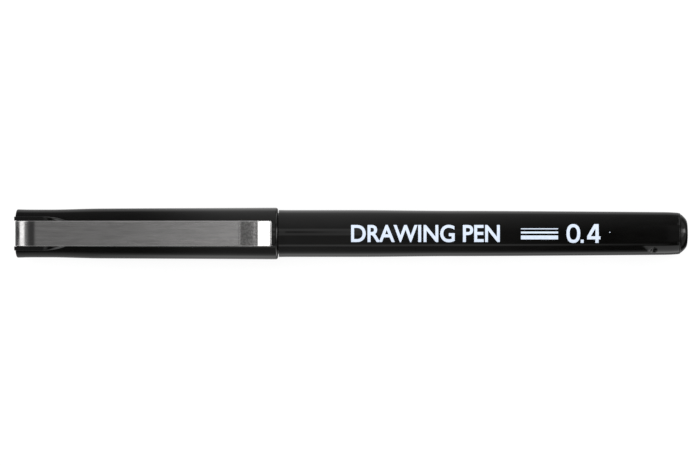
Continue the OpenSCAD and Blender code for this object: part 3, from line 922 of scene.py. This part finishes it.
def decimal_point():
    """Outline of a square point."""
    left, right, top = 2.88, 3.48, 0.7
    return [[(left, 0), (right, 0), (right, top), (left, top)]]


def number_four():
    """Outline and counter of a plain 4 with a flat top."""
    left, right = 4.16, 6.86
    stem_left, stem_right = 5.84, 6.5
    bar_low, bar_high = 0.75, 1.4
    top_left = 5.62
    outline = [(stem_left, 0), (stem_right, 0), (stem_right, bar_low), (right, bar_low), (right, bar_high),
               (stem_right, bar_high), (stem_right, SIZE_H), (top_left, SIZE_H), (left, bar_high),
               (left, bar_low), (stem_left, bar_low)]
    counter = [(4.89, bar_high), (stem_left, bar_high), (stem_left, 2.94)]
    return [outline, counter]


print_text("print_title", "DRAWING PEN", TITLE_X, TITLE_END_X, TITLE_H, TITLE_BOLD)
print_bars("print_samples", SAMPLE_X, SAMPLE_END_X, SAMPLES)
print_outlines("print_size", SIZE_X, SIZE_H, number_zero() + decimal_point() + number_four())
print_dot("print_dot", DOT_X, DOT_Y, DOT_R)

# ---------------------------------------------------------------- carried-over CAD nodes
for node, material in (("ink_reservoir", INK_FIBRE), ("reservoir_wrap", WRAP_FILM)):
    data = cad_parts[node].data
    data.materials.clear()
    data.materials.append(material)


# ---------------------------------------------------------------- floor and lights
def make_floor():
    """A white sweep, bright enough that the pen throws next to no shadow on it."""
    size, sides = 3.0, 64
    turns = [2 * math.pi * k / sides for k in range(sides)]
    mesh = bpy.data.meshes.new("floor")
    mesh.from_pydata([(size * math.cos(t), size * math.sin(t), 0) for t in turns], [], [list(range(sides))])
    floor = bpy.data.objects.new("floor", mesh)
    bpy.context.scene.collection.objects.link(floor)
    material, nodes, links, shader = principled("floor_white", Roughness=0.9)
    paper = noise(nodes, links, (40, 40, 40), 2)
    white = ramp(nodes, links, paper, (0.3, (0.15, 0.15, 0.15)), (0.7, (0.18, 0.18, 0.18)))
    links.new(white, shader.inputs["Base Color"])
    shader.inputs["Specular IOR Level"].default_value = 0.0
    shader.inputs["Emission Color"].default_value = (1, 1, 1, 1)
    shader.inputs["Emission Strength"].default_value = 0.87
    mesh.materials.append(material)
    floor.visible_glossy = False


TENT_R = 0.68
# The tent's own glow comes on and fades along it, between places in millimetres from the pen's middle. Its
# front has a share of the glow that falls towards the tail, and the share rises to 1 at the back.
GLOW_BASE = 0.11
GLOW_RISE = (-95, -45)
GLOW_FALL = (-30, 150, 0.40, 0.02)
FRONT_SHARE = (0, 130, 0.45, 0.1)
BACK_TURNS = (-10, 90)
# Soft patches of light on the tent: brightness, a window of the angle round the pen in degrees (0 overhead,
# 90 behind), and a window of the place along the pen in millimetres. A window is its low edge, its high edge
# and their softness. A fourth number is the high edge's own softness.
PATCHES = [
    (0.28, (124, 999, 8), (-420, 420, 60)),        # white sweep, seen past the pen's far side
    (0.28, (-999, -106, 12), (-420, 420, 60)),     # white sweep, seen past its near side
    (0.40, (-134, -117, 6), (-90, 420, 35)),
    (0.56, (-65.5, -56.5, 4), (-85, 110, 70)),     # long thin lamp in front
    (0.75, (-128, -70, 4), (127, 420, 0.8, 3)),    # cards at the front right and back right
    (1.00, (-128, -50, 6), (230, 420, 15)),
    (1.60, (50, 115, 6), (230, 420, 15)),
    (0.45, (12, 23, 3.5), (-56, 38, 12, 35)),      # lamps each side of the lens
    (0.36, (-9, 2, 3.5), (-56, 38, 12, 35)),
    (0.28, (2, 12, 2.5), (-12, 38, 10, 35)),
    (0.14, (-45, 45, 8), (-255, -66, 60, 12)),     # card over the clip
    (0.16, (-45, 45, 8), (-53, -36, 5)),
    (0.09, (-45, 45, 8), (150, 700, 40)),          # seen in the clip's dip
    (0.75, (-45, 45, 8), (370, 700, 90)),
]
# Cards beyond the pen's ends: brightness, which end (1 is the tail's), a window of the angle to the side and
# a window of the angle above the floor, both in degrees.
END_CARDS = [
    (1.3, -1, (-40, 40, 6), (-11, 17, 5)),
    (0.2, -1, (-40, 40, 6), (-11, 32, 12)),
    (2.6, 1, (-18, 18, 6), (19, 43, 4)),
    (0.26, 1, (-40, 40, 6), (-14, 19, 5)),
    (2.6, 1, (3, 14, 2), (-6, 10, 3)),
]


def tent_light(nodes, links):
    """Brightness of the tent round the pen, from where on the tent it is."""
    coords = nodes.new("ShaderNodeTexCoord")
    split = nodes.new("ShaderNodeSeparateXYZ")
    links.new(coords.outputs["Object"], split.inputs["Vector"])
    px, py, pz = (split.outputs[axis] for axis in "XYZ")
    along = math_node(nodes, links, "MULTIPLY", px, 1 / MM)
    turn = math_node(nodes, links, "DEGREES", math_node(nodes, links, "ARCTAN2", py, pz))
    height = math_node(nodes, links, "ARCSINE", math_node(nodes, links, "DIVIDE", pz, TENT_R))
    height = math_node(nodes, links, "DEGREES", height)
    rise = smooth_step(nodes, links, along, *GLOW_RISE)
    fall = smooth_step(nodes, links, along, *GLOW_FALL)
    glow = math_node(nodes, links, "MULTIPLY_ADD", rise, fall, GLOW_BASE)
    front = smooth_step(nodes, links, along, *FRONT_SHARE)
    back = smooth_step(nodes, links, turn, *BACK_TURNS)
    rest = math_node(nodes, links, "SUBTRACT", 1.0, front)
    share = math_node(nodes, links, "MULTIPLY_ADD", back, rest, front)
    total = math_node(nodes, links, "MULTIPLY", glow, share)
    for bright, turns, places in PATCHES:
        patch = math_node(nodes, links, "MULTIPLY", window(nodes, links, turn, *turns),
                          window(nodes, links, along, *places))
        total = math_node(nodes, links, "MULTIPLY_ADD", patch, bright, total)
    for bright, end, sides, heights in END_CARDS:
        facing = math_node(nodes, links, "MULTIPLY", px, end)
        aside = math_node(nodes, links, "DEGREES", math_node(nodes, links, "ARCTAN2", py, facing))
        patch = math_node(nodes, links, "MULTIPLY", window(nodes, links, aside, *sides),
                          window(nodes, links, height, *heights))
        total = math_node(nodes, links, "MULTIPLY_ADD", patch, bright, total)
    return total


def make_tent():
    """A light tent round the pen, which only its reflections see."""
    bm = bmesh.new()
    bmesh.ops.create_uvsphere(bm, u_segments=128, v_segments=64, radius=TENT_R)
    mesh = bpy.data.meshes.new("tent")
    bm.to_mesh(mesh)
    bm.free()
    tent = bpy.data.objects.new("tent", mesh)
    bpy.context.scene.collection.objects.link(tent)
    tent.location = (0, 0, AXIS_Z)
    material = bpy.data.materials.new("tent_light")
    material.use_nodes = True
    nodes, links = material.node_tree.nodes, material.node_tree.links
    nodes.remove(nodes["Principled BSDF"])
    emission = nodes.new("ShaderNodeEmission")
    links.new(tent_light(nodes, links), emission.inputs["Strength"])
    links.new(emission.outputs[0], nodes["Material Output"].inputs["Surface"])
    mesh.materials.append(material)
    tent.visible_camera = False
    tent.visible_diffuse = False
    tent.visible_shadow = False
    tent.visible_transmission = False


def make_lights():
    """Even white light from all round, and a soft lamp overhead."""
    world = bpy.data.worlds.new("studio")
    bpy.context.scene.world = world
    world.use_nodes = True
    world.node_tree.nodes["Background"].inputs["Color"].default_value = (1, 1, 1, 1)
    world.node_tree.nodes["Background"].inputs["Strength"].default_value = 0.9
    lamp = bpy.data.lights.new("lamp", "AREA")
    lamp.size = 1.2
    lamp.energy = 8
    obj = bpy.data.objects.new("lamp", lamp)
    bpy.context.scene.collection.objects.link(obj)
    obj.location = (-0.3, 0.4, 1.1)
    obj.rotation_euler = (-obj.location).to_track_quat("-Z", "Y").to_euler()
    obj.visible_glossy = False
    obj.visible_camera = False


CAMERA_X, CAMERA_Y = -0.00037, 0.0001
CAMERA_H = 0.671                                   # height of the lens above the pen's axis
VIEW_W = 0.142145                                  # width that the view covers at the axis
SENSOR = 36.0


def make_camera():
    """A camera straight above the pen."""
    camera = bpy.data.cameras.new("camera")
    camera.sensor_width = SENSOR
    camera.lens = SENSOR * CAMERA_H / VIEW_W
    camera.clip_start = 0.01
    camera.clip_end = 10
    obj = bpy.data.objects.new("camera", camera)
    bpy.context.scene.collection.objects.link(obj)
    obj.location = (CAMERA_X, CAMERA_Y, AXIS_Z + CAMERA_H)
    bpy.context.scene.camera = obj


make_floor()
make_tent()
make_lights()
make_camera()
bpy.context.scene.view_settings.view_transform = "Standard"
